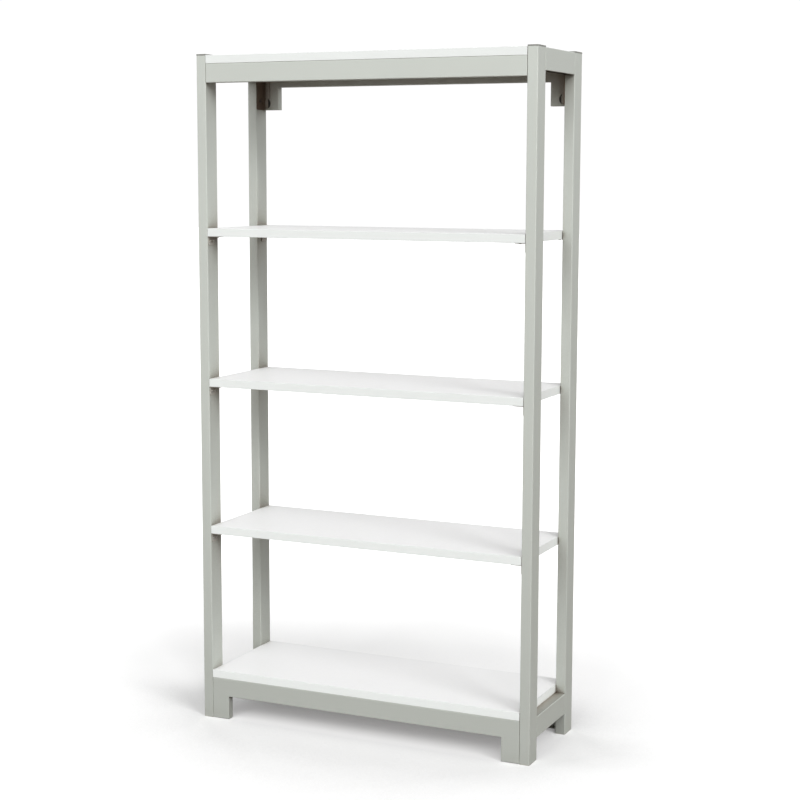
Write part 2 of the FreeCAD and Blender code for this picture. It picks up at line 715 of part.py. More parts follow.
def corner_plate(name, sx):
    """Folded plate in the corner of post and turned portal: one leg on the
    post, a narrow one on the ear's web.  Local y = 0 is the rear plane."""
    b = new_body(name)
    inward = "-" if sx > 0 else "+"
    y0, y1 = D.rail_deep + D.cp_gap, D.post_deep - D.cp_gap
    z0, z1 = -(D.top_ear_low - D.cp_low), D.rail_high - D.cp_top
    s = sketch(b, "YZ", 0)
    rect(s, -y1, z0, -y0, z1)
    pad(b, s, D.cp_thick, to=inward)
    s = sketch(b, "YZ", 0)
    rect(s, -(y0 + D.cp_thick), z0, -y0, z1)
    pad(b, s, D.cp_leg, to=inward)
    dress(b, "Fillet", D.cp_round,
          lambda e: (on(e, "y", -y1.v) and abs(ends(e)[0].x - ends(e)[-1].x) > 1)
          or (on(e, "x", -D.cp_leg.v * sx) and abs(ends(e)[0].y - ends(e)[-1].y) > 1))
    dress(b, "Fillet", D.rail_round, lambda e: vertical(e) and on(e, "x", 0.0) and on(e, "y", -y0.v))
    s = sketch(b, "YZ", 0)
    for z in (-D.ear_bolt_lo, D.ear_bolt_hi):
        circle(s, -D.cp_bolt_in, z, D.hole_r)
    pocket(b, s, to=inward)
    place(b, (IN_X - D.rail_gap) * sx, HALF_D, D.top_rail_low)
    return b


def hook(name, sx):
    """Hook plate on the front of the ear's web, beside the corner plate."""
    y = HALF_D - D.rail_deep - D.hook_thick
    zt = D.top_rail_low + D.hook_up
    zs = D.top_rail_low - D.hook_straight
    zl = D.top_rail_low - D.top_ear_low + D.hook_lobe_up
    z0, z1 = zl - D.hook_lobe_long / 2, zl + D.hook_lobe_long / 2
    r = D.hook_lobe_r

    def span(a, c):
        """Low x of a piece between distances a and c from the post's inner face."""
        return (IN_X - c) if sx > 0 else (-(IN_X - a))

    def bar(tag, a, c, lo, hi, front, thick):
        return box(name + tag, q(c) - q(a), thick, hi - lo, span(a, c), front, lo)

    mid = (IN_X - D.hook_lobe_x) * sx
    plate = bar("_plate", D.hook_in, D.hook_edge, zs, zt, y, D.hook_thick)
    neck = bar("_neck", D.hook_lobe_x - D.hook_neck / 2, D.hook_lobe_x + D.hook_neck / 2, z1, zs, y, D.hook_thick)
    body = bar("_lobe", D.hook_lobe_x - r, D.hook_lobe_x + r, z0, z1, y, D.hook_thick)
    low = disc(name + "_low", r, D.hook_thick, mid, y, z0)
    high = disc(name + "_high", r, D.hook_thick, mid, y, z1)
    f = doc.addObject("Part::MultiFuse", name)
    f.Label = name
    f.Shapes = [plate, neck, body, low, high]
    f.Refine = True
    place(f, 0, 0, 0)
    PARTS.append(f)
    # crescent liner on the side that faces the middle of the bookcase
    lname = name.replace("hook", "hook_liner")
    yl = y - (D.liner_thick - D.hook_thick)
    edge = D.hook_lobe_x + r
    full = disc(lname + "_disc", D.liner_r, D.liner_thick, (IN_X - D.liner_in) * sx, yl, zl)
    side = bar("_liner_side", edge, edge + 20, zl - 20, zl + 20, yl, D.liner_thick)
    c = doc.addObject("Part::Common", lname)
    c.Label = lname
    c.Base, c.Tool = full, side
    place(c, 0, 0, 0)
    PARTS.append(c)


for label, sx in (("left", -1), ("right", 1)):
    corner_plate("rear_corner_plate_" + label, sx)
    hook("rear_hook_" + label, sx)


# ---------------------------------------------------------------------------
# feet: plug in the post, threaded insert, and a swivel glide in two pieces
# ---------------------------------------------------------------------------
def foot_plug(name, sx, sy):
    b = new_body(name)
    hw, hd = D.post_wide / 2, D.post_deep / 2
    s = sketch(b, "XY", 0)
    rect(s, -hw, -hd, hw, hd)
    pad(b, s, D.foot_thick)
    dress(b, "Fillet", D.post_round, lambda e: vertical(e))
    iw = D.post_wide / 2 - D.post_wall - D.plug_gap
    idp = D.post_deep / 2 - D.post_wall - D.plug_gap
    s = sketch(b, "XY", D.foot_thick)
    rect(s, -iw, -idp, iw, idp)
    pad(b, s, D.plug_top - D.foot_thick)
    dress(b, "Fillet", D.post_round_in,
          lambda e: vertical(e) and abs(abs(ends(e)[0].x) - iw.v) < 1e-4)
    s = sketch(b, "XY", 0)
    circle(s, 0, 0, D.pad_r + D.pad_clear)
    pocket(b, s, D.pad_high + D.pad_lift, to="+")
    s = sketch(b, "XY", 0)
    circle(s, 0, 0, D.thread_clear)
    pocket(b, s, to="+")
    s = sketch(b, "XY", D.thread_up)
    hexagon(s, 0, 0, D.pocket_af)
    pocket(b, s, to="+")
    place(b, POST_X * sx, POST_Y * sy, 0)
    return b


def insert_master():
    b = new_body("thread_insert_master", keep=False)
    s = sketch(b, "XY", 0)
    hexagon(s, 0, 0, D.thread_af)
    pad(b, s, D.thread_high)
    s = sketch(b, "XY", 0)
    circle(s, 0, 0, D.thread_bore)
    pocket(b, s, to="+")
    return b


def glide_pad(name, sx, sy):
    """Round pad with a pocket that holds the stud's head."""
    b = new_body(name)
    s = sketch(b, "XZ", 0)
    lo, hi = D.stud_head_lo - D.stud_play, D.stud_head_hi + D.stud_play
    poly(s, [(D.pad_key_r, 0), (D.pad_r - D.pad_break, 0), (D.pad_r, D.pad_break), (D.pad_r, D.pad_high),
             (D.thread_clear, D.pad_high), (D.thread_clear, hi), (D.stud_head_r + D.stud_play, hi),
             (D.stud_head_r + D.stud_play, lo), (D.pad_key_r, lo)])
    revolve(b, s)
    place(b, POST_X * sx, POST_Y * sy, 0)
    return b


def glide_stud(name, sx, sy):
    """Threaded stud, modelled at its running diameter, with a key socket below."""
    b = new_body(name)
    s = sketch(b, "XZ", 0)
    poly(s, [(0, D.stud_head_lo), (D.stud_head_r, D.stud_head_lo), (D.stud_head_r, D.stud_head_hi),
             (D.stud_r, D.stud_head_hi), (D.stud_r, D.stud_top - 0.8), (D.stud_r - 0.8, D.stud_top), (0, D.stud_top)])
    revolve(b, s)
    s = sketch(b, "XY", D.stud_head_lo)
    hexagon(s, 0, 0, D.stud_key * 2)
    pocket(b, s, D.stud_key_deep, to="+")
    place(b, POST_X * sx, POST_Y * sy, 0)
    return b


insert = insert_master()
for label, sx, sy in CORNERS:
    foot_plug("foot_plug_" + label, sx, sy)
    glide_pad("glide_pad_" + label, sx, sy)
    glide_stud("glide_stud_" + label, sx, sy)
group("foot_thread_inserts", insert, [at(POST_X * sx, POST_Y * sy, D.thread_up) for _, sx, sy in CORNERS])


# ---------------------------------------------------------------------------
# check and export
# ---------------------------------------------------------------------------
doc.recompute()
bad = []
for o in doc.Objects:
    if any(k in o.State for k in ("Invalid", "Error")):
        bad.append("%s %s" % (o.Name, o.State))
for o in PARTS:
    if o.Shape.isNull() or not o.Shape.isValid() or not o.Shape.Solids:
        bad.append("%s has no valid shape" % o.Name)
if bad:
    raise RuntimeError("; ".join(bad))
if len(PARTS) > 60 or len({o.Label for o in PARTS}) != len(PARTS):
    raise RuntimeError("node names or count")

os.makedirs("parts", exist_ok=True)
for o in PARTS:
    o.Shape.exportStep("parts/%s.step" % o.Label)
    bb = o.Shape.BoundBox
    print("%-28s solids %2d  vol %11.1f  x %8.1f %8.1f  y %7.1f %7.1f  z %7.1f %7.1f" % (
        o.Label, len(o.Shape.Solids), o.Shape.Volume, bb.XMin, bb.XMax, bb.YMin, bb.YMax, bb.ZMin, bb.ZMax))
print(len(PARTS), "nodes")
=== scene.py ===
import json
import math

import bmesh
import bpy
from mathutils import Matrix, Vector


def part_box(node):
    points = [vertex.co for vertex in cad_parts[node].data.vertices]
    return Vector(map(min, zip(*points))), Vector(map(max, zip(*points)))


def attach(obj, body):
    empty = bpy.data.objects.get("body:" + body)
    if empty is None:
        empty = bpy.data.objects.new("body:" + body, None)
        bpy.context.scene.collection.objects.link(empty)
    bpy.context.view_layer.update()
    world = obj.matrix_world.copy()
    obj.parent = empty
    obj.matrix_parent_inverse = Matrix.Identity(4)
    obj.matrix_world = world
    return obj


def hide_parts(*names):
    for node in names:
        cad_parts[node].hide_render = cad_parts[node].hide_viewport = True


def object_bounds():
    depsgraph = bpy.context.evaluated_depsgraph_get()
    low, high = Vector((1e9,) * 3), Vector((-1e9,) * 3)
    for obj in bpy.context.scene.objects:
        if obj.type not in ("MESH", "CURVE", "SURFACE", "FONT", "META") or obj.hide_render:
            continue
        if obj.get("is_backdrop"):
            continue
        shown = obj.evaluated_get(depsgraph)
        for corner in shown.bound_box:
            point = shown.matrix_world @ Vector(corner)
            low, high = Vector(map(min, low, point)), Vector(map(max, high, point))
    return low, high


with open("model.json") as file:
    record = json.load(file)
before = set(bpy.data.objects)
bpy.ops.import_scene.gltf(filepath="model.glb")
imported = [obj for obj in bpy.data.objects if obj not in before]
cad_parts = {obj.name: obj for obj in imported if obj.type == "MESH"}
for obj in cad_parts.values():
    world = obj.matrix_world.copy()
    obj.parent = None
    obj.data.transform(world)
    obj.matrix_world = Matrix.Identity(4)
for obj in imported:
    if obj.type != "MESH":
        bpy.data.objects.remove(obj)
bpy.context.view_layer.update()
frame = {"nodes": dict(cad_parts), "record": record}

nodes = frame["nodes"]
scene = bpy.context.scene

# ---------------------------------------------------------------------------
# camera: the photograph's viewpoint, solved from the straight edges
# ---------------------------------------------------------------------------
YAW, PITCH, ROLL = 0.43242, 0.13262, 0.0025
cy, sy, cp, sp = math.cos(YAW), math.sin(YAW), math.cos(PITCH), math.sin(PITCH)
fwd = Vector((-sy * cp, cy * cp, -sp))
right = Vector((cy, sy, 0.0))
up = right.cross(fwd)
r = right * math.cos(ROLL) + up * math.sin(ROLL)
u = -right * math.sin(ROLL) + up * math.cos(ROLL)
cam_data = bpy.data.cameras.new("camera")
cam = bpy.data.objects.new("camera", cam_data)
scene.collection.objects.link(cam)
cam.matrix_world = Matrix(((r.x, u.x, -fwd.x, 2.27499), (r.y, u.y, -fwd.y, -4.82876),
                           (r.z, u.z, -fwd.z, 1.75079), (0, 0, 0, 1)))
cam_data.sensor_width = 36.0
cam_data.lens = 1728.35 / 800 * 36.0
cam_data.clip_start, cam_data.clip_end = 0.05, 200.0
scene.camera = cam

scene.view_settings.view_transform = "Standard"
scene.view_settings.look = "None"
scene.view_settings.exposure = 0.0
scene.view_settings.gamma = 1.0


# ---------------------------------------------------------------------------
# node graph helper
# ---------------------------------------------------------------------------
class Graph:
    def __init__(self, name):
        self.m = bpy.data.materials.new(name)
        self.m.use_nodes = True
        self.t = self.m.node_tree
        self.t.nodes.clear()
        self.out = self.t.nodes.new("ShaderNodeOutputMaterial")
        self.b = self.t.nodes.new("ShaderNodeBsdfPrincipled")
        self.t.links.new(self.b.outputs["BSDF"], self.out.inputs["Surface"])
        tc = self.t.nodes.new("ShaderNodeTexCoord")
        self.co = tc.outputs["Object"]
        geo = self.t.nodes.new("ShaderNodeNewGeometry")
        self.normal, self.true_normal = geo.outputs["Normal"], geo.outputs["True Normal"]
        self.sep = self.t.nodes.new("ShaderNodeSeparateXYZ")
        self.link(self.co, self.sep.inputs[0])
        self.nsep = self.t.nodes.new("ShaderNodeSeparateXYZ")
        self.link(self.normal, self.nsep.inputs[0])

    def link(self, a, b):
        self.t.links.new(a, b)

    def put(self, sock, val):
        if isinstance(val, bpy.types.NodeSocket):
            self.t.links.new(val, sock)
        else:
            sock.default_value = val

    def noise(self, scale, detail=3.0, rough=0.55, co=None, distort=0.0, dim="3D"):
        n = self.t.nodes.new("ShaderNodeTexNoise")
        n.noise_dimensions = dim
        self.link(co or self.co, n.inputs["Vector"])
        n.inputs["Scale"].default_value = scale
        n.inputs["Detail"].default_value = detail
        n.inputs["Roughness"].default_value = rough
        n.inputs["Distortion"].default_value = distort
        return n.outputs["Fac"]

    def voronoi(self, scale, feature="F1", co=None, rand=1.0):
        n = self.t.nodes.new("ShaderNodeTexVoronoi")
        n.feature = feature
        self.link(co or self.co, n.inputs["Vector"])
        n.inputs["Scale"].default_value = scale
        n.inputs["Randomness"].default_value = rand
        return n.outputs["Distance"]

    def stretched(self, sx, sy_, sz):
        n = self.t.nodes.new("ShaderNodeMapping")
        self.link(self.co, n.inputs["Vector"])
        n.inputs["Scale"].default_value = (sx, sy_, sz)
        return n.outputs["Vector"]

    def math(self, op, a, b=0.0, clamp=False):
        n = self.t.nodes.new("ShaderNodeMath")
        n.operation = op
        n.use_clamp = clamp
        self.put(n.inputs[0], a)
        self.put(n.inputs[1], b)
        return n.outputs[0]

    def span(self, val, a, b, c=0.0, d=1.0, smooth=False):
        n = self.t.nodes.new("ShaderNodeMapRange")
        n.interpolation_type = "SMOOTHSTEP" if smooth else "LINEAR"
        n.clamp = True
        self.put(n.inputs["Value"], val)
        n.inputs["From Min"].default_value = a
        n.inputs["From Max"].default_value = b
        n.inputs["To Min"].default_value = c
        n.inputs["To Max"].default_value = d
        return n.outputs["Result"]

    def mix(self, fac, a, b, mode="MIX"):
        n = self.t.nodes.new("ShaderNodeMix")
        n.data_type = "RGBA"
        n.blend_type = mode
        n.clamp_factor = True
        self.put(n.inputs[0], fac)
        self.put(n.inputs[6], rgba(a) if isinstance(a, tuple) else a)
        self.put(n.inputs[7], rgba(b) if isinstance(b, tuple) else b)
        return n.outputs[2]

    def ramp(self, fac, stops):
        n = self.t.nodes.new("ShaderNodeValToRGB")
        self.link(fac, n.inputs[0])
        el = n.color_ramp.elements
        while len(el) > 1:
            el.remove(el[-1])
        el[0].position, el[0].color = stops[0][0], rgba(stops[0][1])
        for p, c in stops[1:]:
            e = el.new(p)
            e.color = rgba(c)
        return n.outputs["Color"]

    def ao(self, distance, samples=6, normal=None):
        n = self.t.nodes.new("ShaderNodeAmbientOcclusion")
        n.samples = samples
        n.inputs["Distance"].default_value = distance
        if normal is not None:
            self.link(normal, n.inputs["Normal"])
        return n.outputs["AO"]

    def bevel(self, radius, samples=4):
        n = self.t.nodes.new("ShaderNodeBevel")
        n.samples = samples
        n.inputs["Radius"].default_value = radius
        return n.outputs["Normal"]

    def edge(self, radius, gain=1.0):
        """0 on flat faces, rising to 1 on convex and concave edges."""
        n = self.t.nodes.new("ShaderNodeVectorMath")
        n.operation = "DOT_PRODUCT"
        self.link(self.bevel(radius), n.inputs[0])
        self.link(self.normal, n.inputs[1])
        return self.span(n.outputs["Value"], 1.0, 1.0 - 0.22 / gain)

    def bump(self, height, distance, strength=1.0, normal=None):
        n = self.t.nodes.new("ShaderNodeBump")
        n.inputs["Strength"].default_value = strength
        n.inputs["Distance"].default_value = distance
        self.link(height, n.inputs["Height"])
        if normal is not None:
            self.link(normal, n.inputs["Normal"])
        return n.outputs["Normal"]

    def set(self, **k):
        names = {"color": "Base Color", "rough": "Roughness", "metal": "Metallic", "normal": "Normal",
                 "spec": "Specular IOR Level", "coat": "Coat Weight", "coat_rough": "Coat Roughness",
                 "sheen": "Sheen Weight", "ior": "IOR"}
        for key, val in k.items():
            self.put(self.b.inputs[names[key]], rgba(val) if isinstance(val, tuple) else val)


def rgba(c):
    return (c[0], c[1], c[2], 1.0) if len(c) == 3 else c


def scaled(c, k):
    return tuple(min(1.0, x * k) for x in c[:3])


# ---------------------------------------------------------------------------
# materials
# ---------------------------------------------------------------------------
# Painted shade: corners and crevices are darkened and warmed through a colour ramp on the geometry's own occlusion,
# standing in for the shade and warm inter-reflection there.
def painted_occlusion_shade(g, color, distance, stops, samples=6, fac=1.0):
    return g.mix(fac, color, g.ramp(g.ao(distance, samples), stops), "MULTIPLY")


CREVICE_SHADE = [(0.0, (0.10, 0.066, 0.048)), (0.25, (0.20, 0.140, 0.105)), (0.38, (0.42, 0.36, 0.32)),
           (0.50, (0.80, 0.77, 0.74)), (0.62, (0.96, 0.955, 0.945)), (0.75, (1.0, 1.0, 1.0))]


# strength of the painted shade towards the feet
LOW_SHADE = 0.15
# painted shade as above, over a hand's breadth or more: the space under a board is lit from below only
UNDER_BOARD_SHADE = [(0.0, (0.17, 0.13, 0.105)), (0.40, (0.34, 0.285, 0.245)), (0.52, (0.43, 0.375, 0.33)), (0.57, (0.62, 0.57, 0.53)),
         (0.62, (0.87, 0.85, 0.83)), (0.70, (0.965, 0.96, 0.95)), (0.85, (1.0, 1.0, 1.0))]


def powder_coat(name, base, rough=0.50, crevice_shade=CREVICE_SHADE, reach=0.075, metal=0.35, deep_reach=0.30):
    """Fine-textured silver powder coat: orange peel, fine grain, paler worn edges, scuffs low down."""
    g = Graph(name)
    cloud = g.noise(2.6, 3.0, 0.5)
    peel = g.noise(420.0, 2.0, 0.5)
    grain = g.noise(1500.0, 2.0, 0.6)
    col = g.mix(g.span(cloud, 0.3, 0.7), scaled(base, 0.982), scaled(base, 1.014))
    # painted shade: the coat is darkened towards the feet, most on the faces turned to the front and back, standing in
    # for the weaker light near the floor
    height = g.math("POWER", g.span(g.sep.outputs["Z"], 1.15, 0.0), 1.8)
    broad = g.span(g.math("ABSOLUTE", g.nsep.outputs["Y"]), 0.0, 1.0, 0.15, 1.0)
    low_shade = g.math("MULTIPLY", height, broad)
    col = g.mix(g.math("MULTIPLY", low_shade, LOW_SHADE), col, (0.04, 0.055, 0.05))
    col = g.mix(g.span(grain, 0.62, 0.8), col, scaled(base, 1.10))
    col = g.mix(g.span(grain, 0.36, 0.2), col, scaled(base, 0.86))
    edge = g.edge(0.0009)
    worn = g.math("MULTIPLY", edge, g.span(g.noise(38.0, 4.0, 0.65), 0.42, 0.68))
    col = g.mix(g.math("MULTIPLY", worn, 0.5), col, scaled(base, 1.17))
    # faint scuffs and mop marks above the feet
    low = g.math("MULTIPLY", g.span(g.sep.outputs["Z"], 0.16, 0.06), g.span(g.sep.outputs["Z"], 0.012, 0.04))
    marks = g.noise(1.0, 5.0, 0.7, co=g.stretched(24.0, 24.0, 160.0))
    scuff = g.math("MULTIPLY", low, g.span(marks, 0.56, 0.72))
    col = g.mix(g.math("MULTIPLY", scuff, 0.12), col, scaled(base, 0.70))
    # fine dust on ledges that face up
    up_ = g.span(g.nsep.outputs["Z"], 0.75, 1.0)
    dust = g.math("MULTIPLY", up_, g.span(g.noise(55.0, 5.0, 0.7), 0.35, 0.75))
    col = g.mix(g.math("MULTIPLY", dust, 0.16), col, (0.72, 0.70, 0.66))
    # painted shade: up-facing ledges below about 0.3 m are mixed towards a dark tan, mottled, standing in for the shade
    # beside the board ends
    deep = g.math("MULTIPLY", up_, g.span(g.sep.outputs["Z"], 0.30, 0.15))
    ledge_shade = g.span(g.noise(120.0, 5.0, 0.7), 0.2, 0.75, 0.62, 0.95)
    inward = g.span(g.math("ABSOLUTE", g.sep.outputs["X"]), 0.527, 0.558)
    tan = g.mix(inward, (0.36, 0.325, 0.275), (0.31, 0.305, 0.275))
    col = g.mix(g.math("MULTIPLY", deep, ledge_shade), col, tan)
    # painted shade in corners and crevices, faded out in the lowest 5 cm
    corner = g.span(g.sep.outputs["Z"], 0.0, 0.05)
    col = painted_occlusion_shade(g, col, reach, crevice_shade, fac=corner)
    # painted shade under the boards, from 0.1 m up, full above 0.3 m
    if deep_reach:
        high = g.span(g.sep.outputs["Z"], 0.10, 0.30)
        col = painted_occlusion_shade(g, col, deep_reach, UNDER_BOARD_SHADE, samples=5, fac=high)
    rgh = g.math("ADD", g.span(grain, 0.2, 0.8, rough - 0.06, rough + 0.07), g.math("MULTIPLY", dust, 0.12))
    rgh = g.math("SUBTRACT", rgh, g.math("MULTIPLY", worn, 0.10), clamp=True)
    nrm = g.bump(peel, 0.00016, 0.55, g.bevel(0.00045))
    nrm = g.bump(grain, 0.00006, 0.6, nrm)
    g.set(color=col, rough=rgh, normal=nrm, spec=0.42, metal=metal)
    return g.m


PAINT = (0.553, 0.583, 0.545)


def frame_paint():
    return powder_coat("frame_paint", PAINT)


def shelf_melamine():
    """White melamine face: fine pearl grain, faint mottling, glue line at the edging."""
    g = Graph("shelf_melamine")
    base = (0.878, 0.880, 0.882)
    pearl = g.voronoi(1150.0, "SMOOTH_F1")
    fine = g.noise(2400.0, 2.0, 0.6)
    cloud = g.noise(4.0, 3.0, 0.55)
    col = g.mix(g.span(cloud, 0.3, 0.7), scaled(base, 0.990), scaled(base, 1.008))
    col = g.mix(g.span(pearl, 0.55, 0.2), col, scaled(base, 0.985))
    # a few hairline scratches from things slid in and out
    scr = g.noise(1.0, 1.0, 0.4, co=g.stretched(900.0, 7.0, 900.0), distort=0.25)
    where = g.span(g.noise(9.0, 2.0, 0.5), 0.55, 0.72)
    scratch = g.math("MULTIPLY", g.span(scr, 0.715, 0.76), where)
    col = g.mix(g.math("MULTIPLY", scratch, 0.35), col, (0.66, 0.66, 0.66))
    # glue line round the board
    ax = g.math("ABSOLUTE", g.sep.outputs["X"])
    ay = g.math("ABSOLUTE", g.sep.outputs["Y"])
    glue = g.math("MAXIMUM", g.span(ax, 0.52330, 0.52345), g.span(ay, 0.18780, 0.18795))
    col = g.mix(g.math("MULTIPLY", glue, 0.5), col, (0.50, 0.485, 0.455))
    dust = g.math("MULTIPLY", g.span(g.nsep.outputs["Z"], 0.75, 1.0), g.span(g.noise(70.0, 6.0, 0.72), 0.42, 0.8))
    col = g.mix(g.math("MULTIPLY", dust, 0.10), col, (0.74, 0.73, 0.71))
    # painted shade where the board meets other parts
    col = painted_occlusion_shade(g, col, 0.030, [(0.0, (0.30, 0.27, 0.24)), (0.35, (0.62, 0.59, 0.56)), (0.6, (0.92, 0.91, 0.90)), (0.8, (1, 1, 1)), (1, (1, 1, 1))])
    rgh = g.math("ADD", g.span(pearl, 0.1, 0.6, 0.33, 0.42), g.math("MULTIPLY", dust, 0.18))
    rgh = g.math("ADD", rgh, g.math("MULTIPLY", scratch, 0.2), clamp=True)
    nrm = g.bump(pearl, 0.00007, 0.5, g.bevel(0.0003))
    nrm = g.bump(fine, 0.00002, 0.4, nrm)
    g.set(color=col, rough=rgh, normal=nrm, spec=0.5)
    return g.m


def edging_plastic():
    """ABS strip: length-wise planing marks, slightly glossier, rubbed corners."""
    g = Graph("edging_plastic")
    base = (0.735, 0.765, 0.752)
    along = g.noise(1.0, 3.0, 0.6, co=g.stretched(6.0, 6.0, 1400.0))
    cloud = g.noise(11.0, 3.0, 0.55)
    col = g.mix(g.span(cloud, 0.3, 0.7), scaled(base, 0.985), scaled(base, 1.008))
    col = g.mix(g.span(along, 0.62, 0.8), col, scaled(base, 0.965))
    # painted light: the edging on the board ends, whose faces turn to the sides, is lightened
    end_strip_light = g.span(g.math("ABSOLUTE", g.nsep.outputs["X"]), 0.5, 0.9)
    col = g.mix(g.math("MULTIPLY", end_strip_light, 0.30), col, (0.93, 0.95, 0.94))
    edge = g.edge(0.0008)
    rub = g.math("MULTIPLY", edge, g.span(g.noise(60.0, 4.0, 0.7), 0.5, 0.72))
    col = g.mix(g.math("MULTIPLY", rub, 0.28), col, (0.66, 0.655, 0.64))
    chip = g.span(g.noise(900.0, 2.0, 0.6), 0.74, 0.80)
    col = g.mix(g.math("MULTIPLY", chip, 0.25), col, (0.70, 0.69, 0.67))
    # painted shade in the corners
    col = painted_occlusion_shade(g, col, 0.016, [(0.0, (0.26, 0.23, 0.20)), (0.35, (0.60, 0.56, 0.52)), (0.62, (0.93, 0.92, 0.90)), (0.82, (1, 1, 1)), (1, (1, 1, 1))])
    rgh = g.span(along, 0.3, 0.7, 0.30, 0.40)
    nrm = g.bump(along, 0.00004, 0.5, g.bevel(0.0005))
    g.set(color=col, rough=rgh, normal=nrm, spec=0.5)
    return g.m


def moulded(name, base, rough=0.55, grain_scale=1700.0, depth=0.00007, corner_shade=True, spec=0.4):
    """Injection-moulded plastic with a spark-eroded texture and rubbed edges."""
    g = Graph(name)
    grain = g.noise(grain_scale, 3.0, 0.6)
    flow = g.noise(1.0, 3.0, 0.5, co=g.stretched(60.0, 20.0, 20.0), distort=0.6)
    col = g.mix(g.span(flow, 0.3, 0.7), scaled(base, 0.955), scaled(base, 1.03))
    col = g.mix(g.span(grain, 0.6, 0.8), col, scaled(base, 1.14))
    edge = g.edge(0.0007)
    rub = g.math("MULTIPLY", edge, g.span(g.noise(90.0, 4.0, 0.65), 0.4, 0.7))
    col = g.mix(g.math("MULTIPLY", rub, 0.5), col, scaled(base, 1.22))
    dust = g.math("MULTIPLY", g.span(g.nsep.outputs["Z"], 0.75, 1.0), g.span(g.noise(80.0, 5.0, 0.7), 0.4, 0.78))
    col = g.mix(g.math("MULTIPLY", dust, 0.22), col, (0.66, 0.645, 0.61))
    # painted shade in the corners, when asked for
    if corner_shade:
        col = painted_occlusion_shade(g, col, 0.04, CREVICE_SHADE)
    rgh = g.math("ADD", g.span(grain, 0.25, 0.75, rough - 0.07, rough + 0.07), g.math("MULTIPLY", dust, 0.15), clamp=True)
    nrm = g.bump(grain, depth, 0.7, g.bevel(0.0004))
    g.set(color=col, rough=rgh, normal=nrm, spec=spec)
    return g.m


def corner_plate():
    """Dark brown stoved enamel on flat steel, rubbed paler at its edges; the dark brown is partly painted shade,
    standing in for the deep shade of the rear top corners.
    """
    g = Graph("corner_plate_paint")
    # the dark brown base is partly painted shade
    base = (0.110, 0.078, 0.055)
    cloud = g.noise(18.0, 4.0, 0.6)
    peel = g.noise(500.0, 2.0, 0.5)
    col = g.mix(g.span(cloud, 0.3, 0.7), scaled(base, 0.82), scaled(base, 1.25))
    edge = g.edge(0.0007)
    worn = g.math("MULTIPLY", edge, g.span(g.noise(120.0, 4.0, 0.65), 0.45, 0.7))
    col = g.mix(g.math("MULTIPLY", worn, 0.6), col, (0.22, 0.185, 0.15))
    fine = g.noise(1.0, 2.0, 0.5, co=g.stretched(60.0, 60.0, 1300.0))
    col = g.mix(g.math("MULTIPLY", g.span(fine, 0.66, 0.74), 0.35), col, (0.16, 0.13, 0.10))
    rgh = g.span(g.noise(240.0, 3.0, 0.6), 0.3, 0.7, 0.42, 0.58)
    nrm = g.bump(peel, 0.00012, 0.6, g.bevel(0.0004))
    g.set(color=col, rough=rgh, normal=nrm, spec=0.35)
    return g.m


def liner_rubber():
    """Soft rubber: matt, slightly dusty, fine pitted skin."""
    g = Graph("liner_rubber")
    # the near-black is partly painted shade, standing in for the shade in the hook's mouth
    base = (0.030, 0.027, 0.025)
    pits = g.voronoi(1400.0)
    cloud = g.noise(60.0, 4.0, 0.6)
    col = g.mix(g.span(cloud, 0.35, 0.7), scaled(base, 0.8), scaled(base, 1.5))
    dust = g.span(g.noise(300.0, 4.0, 0.7), 0.55, 0.8)
    col = g.mix(g.math("MULTIPLY", dust, 0.22), col, (0.16, 0.15, 0.14))
    nrm = g.bump(pits, 0.00010, 0.6, g.bevel(0.0006))
    g.set(color=col, rough=g.span(cloud, 0.3, 0.7, 0.72, 0.88), normal=nrm, spec=0.3)
    return g.m


def zinc(name, base=(0.56, 0.565, 0.56), rough=0.36):
    """Zinc-plated steel: faint yellow and blue passivation, fine machining lines."""
    g = Graph(name)
    tone = g.noise(130.0, 3.0, 0.6)
    col = g.ramp(tone, [(0.25, scaled(base, 0.86)), (0.45, base), (0.58, (base[0] * 1.05, base[1] * 1.0, base[2] * 0.88)),
                        (0.75, (base[0] * 0.93, base[1] * 0.99, base[2] * 1.08))])
    spots = g.span(g.noise(700.0, 3.0, 0.7), 0.62, 0.74)
    col = g.mix(g.math("MULTIPLY", spots, 0.35), col, (0.32, 0.31, 0.29))
    # painted shade in recesses
    col = painted_occlusion_shade(g, col, 0.010, [(0.0, (0.25, 0.22, 0.19)), (0.4, (0.6, 0.57, 0.54)), (0.75, (0.95, 0.95, 0.94)), (1, (1, 1, 1))], 4)
    lines = g.noise(1.0, 2.0, 0.6, co=g.stretched(2600.0, 2600.0, 300.0))
    rgh = g.math("ADD", g.span(lines, 0.3, 0.7, rough - 0.06, rough + 0.08), g.math("MULTIPLY", spots, 0.2), clamp=True)
    nrm = g.bump(lines, 0.00003, 0.4, g.bevel(0.0003))
    g.set(color=col, rough=rgh, metal=1.0, normal=nrm)
    return g.m


def black_screw(name):
    """Black-passivated steel: brownish bloom, machining lines, rubbed edges."""
    g = Graph(name)
    base = (0.048, 0.037, 0.030)
    tone = g.noise(160.0, 3.0, 0.6)
    col = g.mix(g.span(tone, 0.3, 0.7), scaled(base, 0.75), (0.066, 0.050, 0.038))
    worn = g.math("MULTIPLY", g.edge(0.0005), g.span(g.noise(240.0, 4.0, 0.65), 0.4, 0.65))
    col = g.mix(g.math("MULTIPLY", worn, 0.5), col, (0.14, 0.13, 0.12))
    lines = g.noise(1.0, 2.0, 0.6, co=g.stretched(2600.0, 2600.0, 300.0))
    nrm = g.bump(lines, 0.00003, 0.4, g.bevel(0.0003))
    g.set(color=col, rough=g.span(lines, 0.3, 0.7, 0.42, 0.56), normal=nrm, spec=0.45, metal=0.4)
    return g.m


